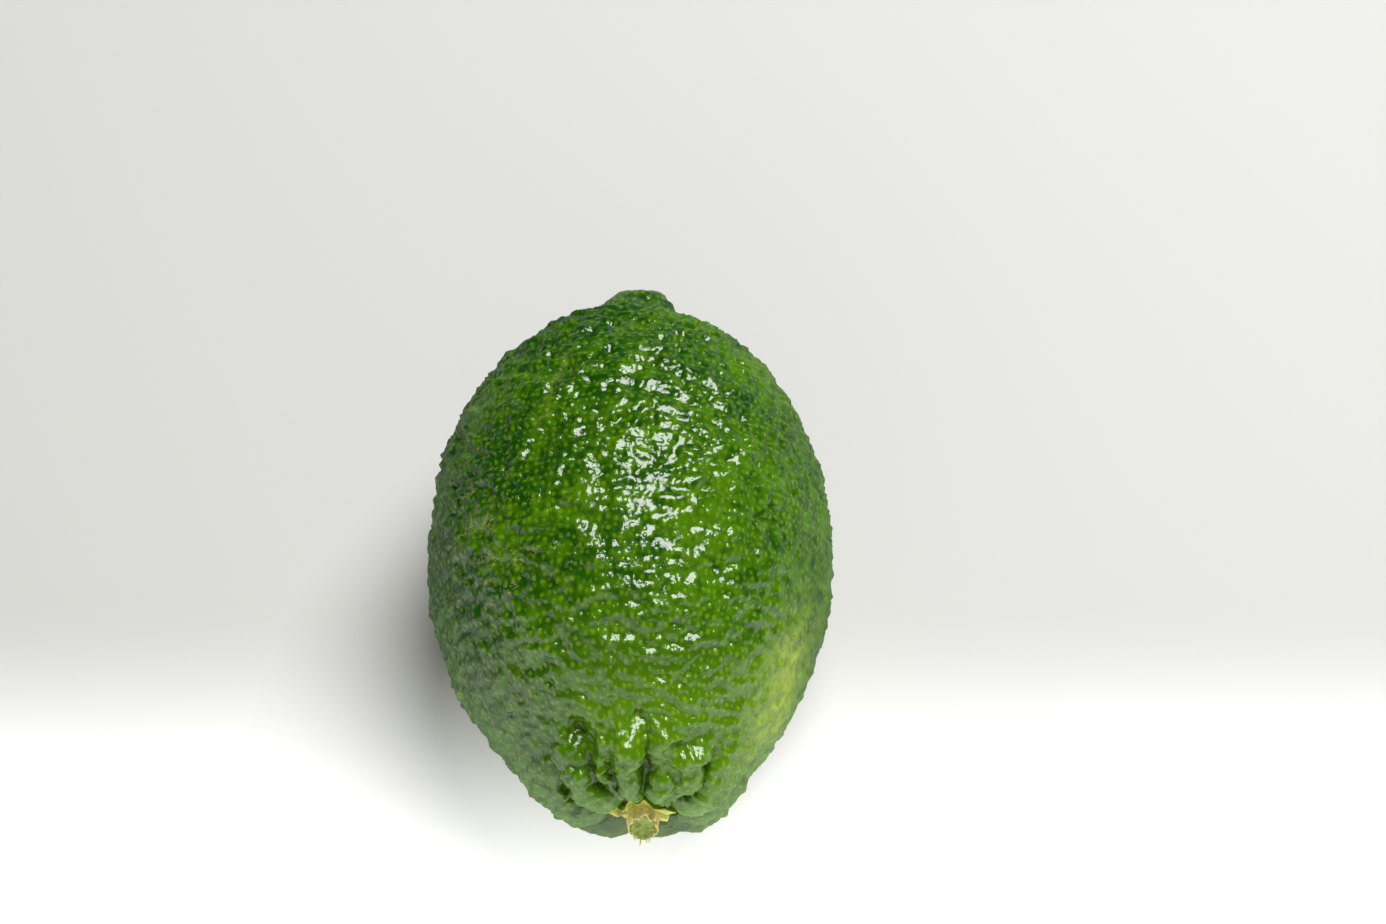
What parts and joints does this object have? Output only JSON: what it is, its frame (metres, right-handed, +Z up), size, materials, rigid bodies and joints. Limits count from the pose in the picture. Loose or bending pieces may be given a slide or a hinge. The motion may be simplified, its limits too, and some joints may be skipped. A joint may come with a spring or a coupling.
{
  "type": "lime",
  "caption": "Whole fresh lime lying on its side, egg-shaped with a blunt nipple at one end and puckered lobes round a small calyx and a cut stem stub at the other.",
  "frame": {"origin": "in the plane that the fruit rests on, under the middle of the whole part's bounding box", "axes": "+Z up, +Y along the fruit from the stem end to the tip, +X to the right of someone who faces the stem end"},
  "size_m": [0.0496, 0.0722, 0.0495],
  "materials": {
    "peel": "waxy green peel, pitted and wrinkled, with fine paler oil glands",
    "calyx": "dry yellow-green",
    "stem": "dry tan bark round an olive green core"
  },
  "bodies": {
    "root": {"fruit": "peel", "calyx": "calyx", "stem_stub": "stem"}
  },
  "joints": []
}
